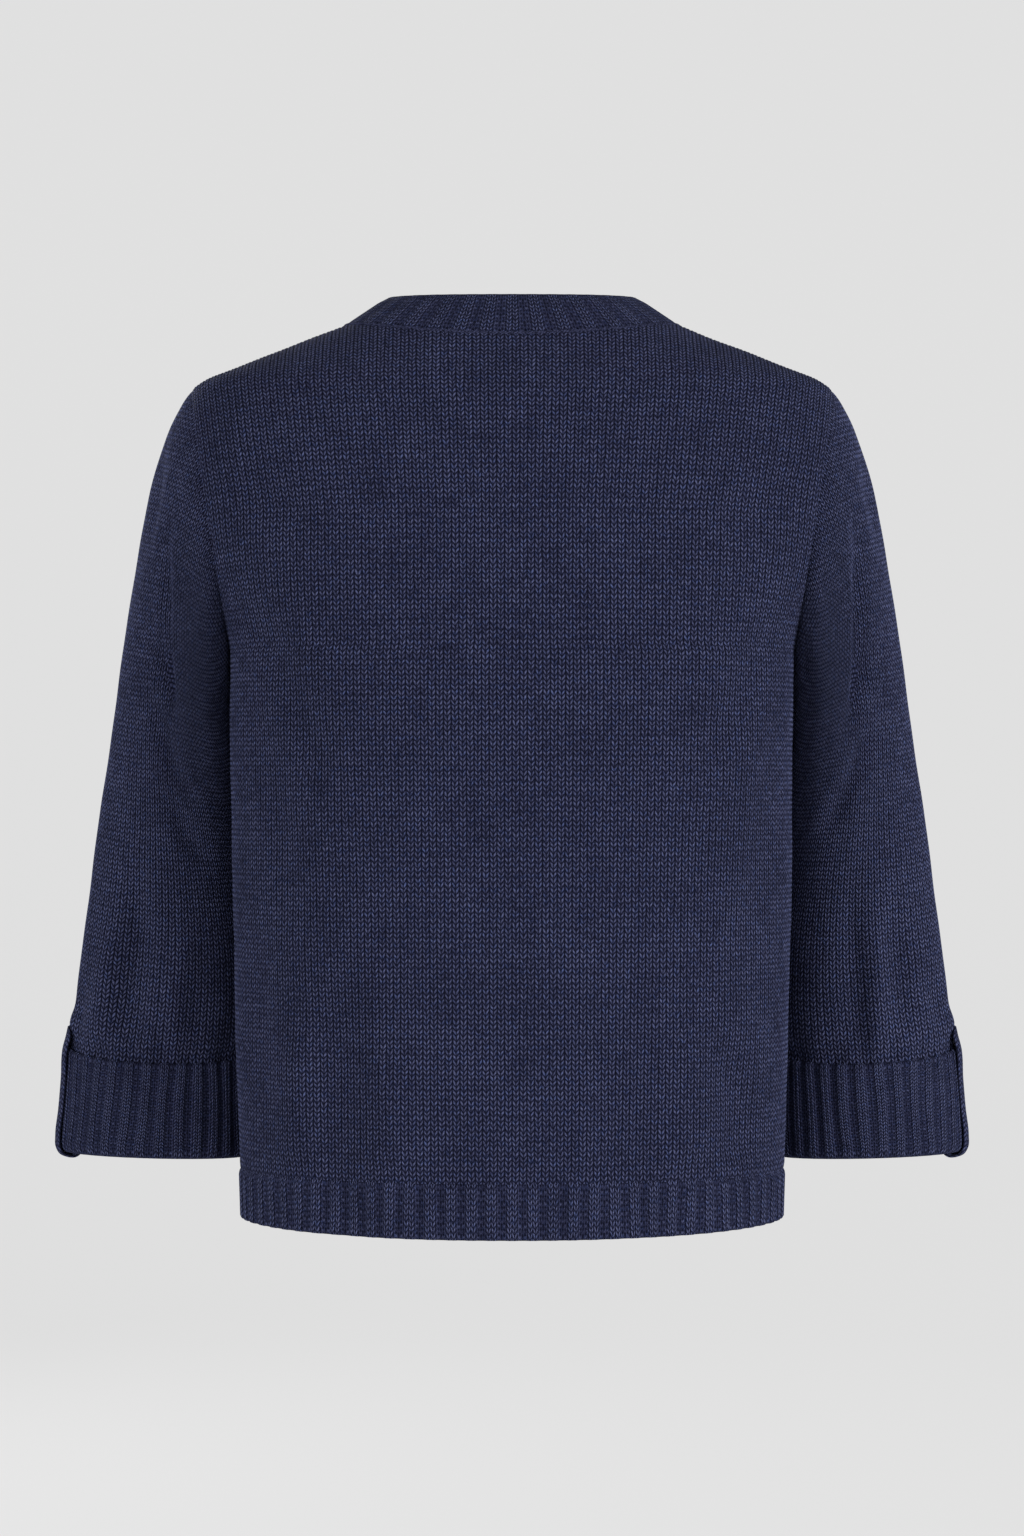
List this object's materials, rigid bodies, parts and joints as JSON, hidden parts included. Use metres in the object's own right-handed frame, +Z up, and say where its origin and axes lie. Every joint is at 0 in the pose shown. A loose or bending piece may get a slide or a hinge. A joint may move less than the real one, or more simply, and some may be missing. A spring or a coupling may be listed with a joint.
{
  "type": "cardigan",
  "caption": "Hip-length knitted cardigan with a round ribbed neckband, buttoned front bands, ribbed hem and wide three-quarter sleeves with turned-up ribbed cuffs held by tabs.",
  "frame": {"origin": "on the midline, level with the points where the neck seam crosses the tops of the shoulders, midway between the front and back halves", "axes": "+Z up along the wearer; the front faces -Y; the wearer's left is +X"},
  "size_m": [0.5794, 0.2532, 0.5708],
  "materials": {
    "knit": "dark navy melange stocking stitch in a soft, slightly hairy wool",
    "rib": "the same yarn in raised two-by-two rib",
    "tab": "the same yarn in a firm narrow strap",
    "button": "dark horn-like resin with a soft gloss"
  },
  "bodies": {
    "root": {"back": "knit", "front_left": "knit", "front_right": "knit", "sleeve_left": "knit", "sleeve_right": "knit", "neckband": "rib", "hem_back": "rib", "hem_front_left": "rib", "hem_front_right": "rib", "band_left": "rib", "band_right": "rib", "cuff_left": "rib", "cuff_right": "rib", "tab_left": "tab", "tab_right": "tab", "button_1": "button", "button_2": "button", "button_3": "button", "button_4": "button", "button_5": "button", "button_6": "button"}
  },
  "joints": []
}
